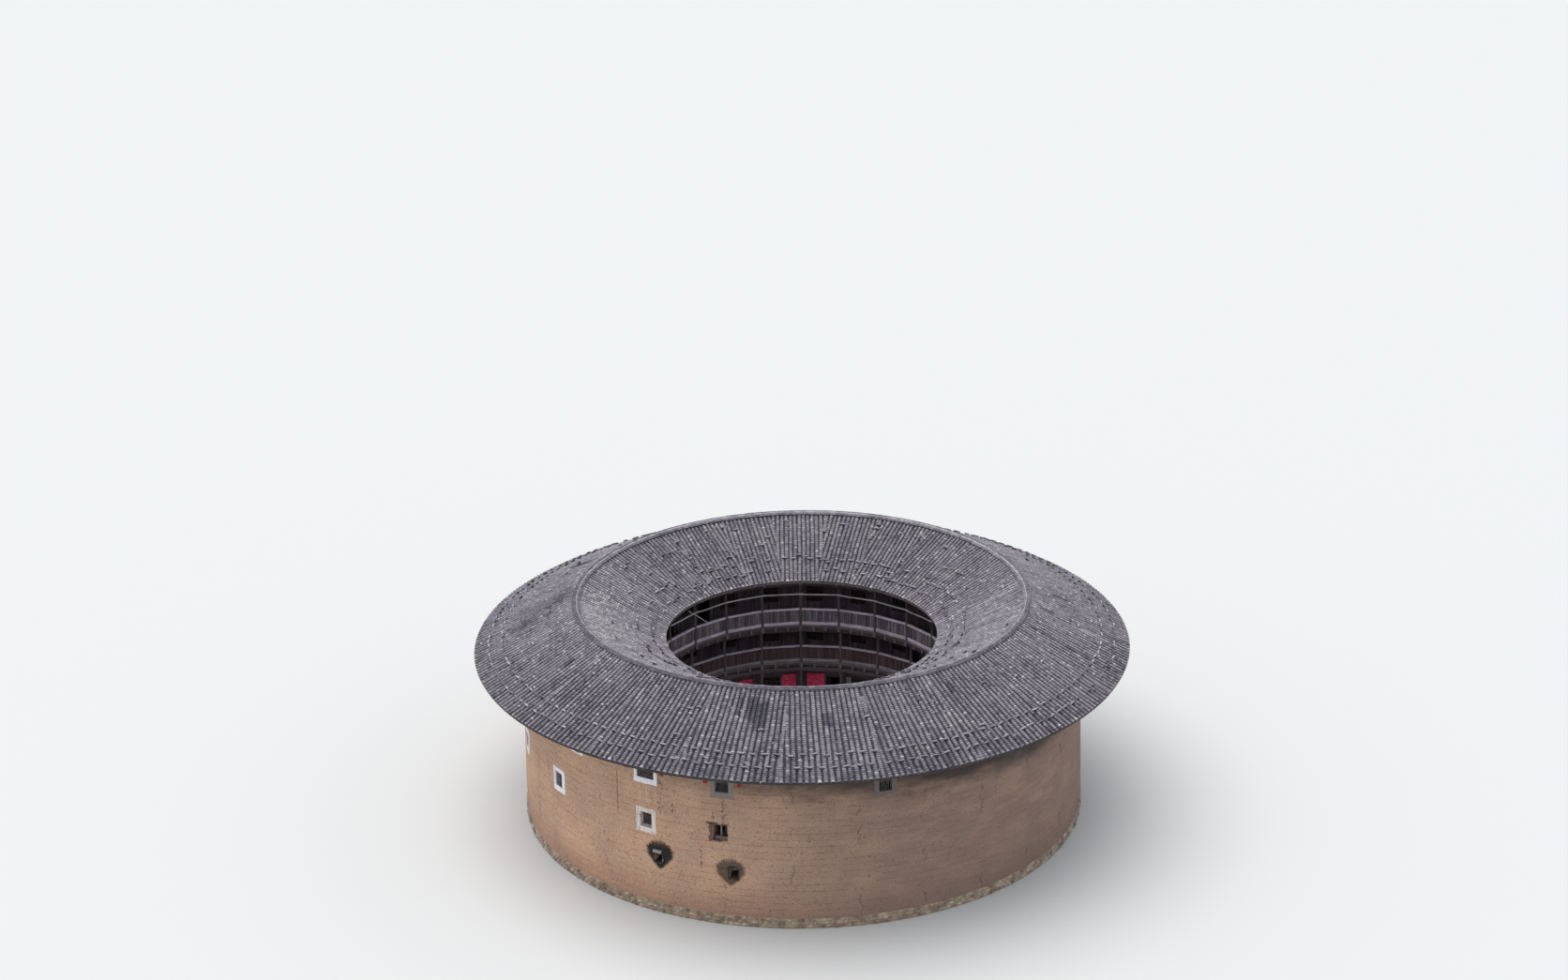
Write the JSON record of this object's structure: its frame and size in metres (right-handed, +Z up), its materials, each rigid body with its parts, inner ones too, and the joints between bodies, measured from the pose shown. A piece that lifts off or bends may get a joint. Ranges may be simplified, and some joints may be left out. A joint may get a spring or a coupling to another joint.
{
  "type": "tulou roundhouse",
  "caption": "Ring-shaped rammed-earth dwelling with timber galleries round an open courtyard, under one continuous tiled ridge roof.",
  "frame": {"origin": "centre of the ring at the foot of the stone plinth", "axes": "+Z up along the axis of the ring; -Y is the side seen in the picture, +X to its right"},
  "size_m": [37.6, 37.6, 12.9],
  "materials": {
    "rammed_earth": "rammed earth, ochre, rough, with lift lines and damp stains",
    "rubble_stone": "river boulders and rubble laid in earth mortar",
    "paving_stone": "worn paving stones and kerb",
    "dressed_stone": "chisel-dressed granite",
    "door_timber": "thick planks, oiled and darkened",
    "frame_timber": "unpainted fir, weathered grey-brown",
    "floor_timber": "sawn boards, worn",
    "board_timber": "upright boards, smoke-darkened reddish brown",
    "roof_tile": "small unglazed grey clay tiles, weathered",
    "ridge_tile": "grey clay tiles bedded in lime mortar"
  },
  "bodies": {
    "root": {"stone_plinth": "rubble_stone", "outer_wall_right": "rammed_earth", "outer_wall_back_right": "rammed_earth", "outer_wall_back": "rammed_earth", "outer_wall_back_left": "rammed_earth", "outer_wall_left": "rammed_earth", "outer_wall_front_left": "rammed_earth", "outer_wall_front": "rammed_earth", "outer_wall_front_right": "rammed_earth", "ground_floor": "paving_stone", "gate_frame": "dressed_stone", "gate_leaf_right": "door_timber", "gate_leaf_left": "door_timber", "second_floor": "floor_timber", "second_floor_joists": "frame_timber", "third_floor": "floor_timber", "third_floor_joists": "frame_timber", "ground_gallery_back": "frame_timber", "ground_gallery_left": "frame_timber", "ground_gallery_front": "frame_timber", "ground_gallery_right": "frame_timber", "second_gallery_back": "frame_timber", "second_gallery_left": "frame_timber", "second_gallery_front": "frame_timber", "second_gallery_right": "frame_timber", "third_gallery_back": "frame_timber", "third_gallery_left": "frame_timber", "third_gallery_front": "frame_timber", "third_gallery_right": "frame_timber", "ground_room_front": "board_timber", "second_room_front": "board_timber", "third_room_front": "board_timber", "tie_beams_back": "frame_timber", "tie_beams_left": "frame_timber", "tie_beams_front": "frame_timber", "tie_beams_right": "frame_timber", "ridge_purlin_back": "frame_timber", "ridge_purlin_left": "frame_timber", "ridge_purlin_front": "frame_timber", "ridge_purlin_right": "frame_timber", "outer_roof": "roof_tile", "inner_roof": "roof_tile", "ridge_capping": "ridge_tile"}
  },
  "joints": []
}
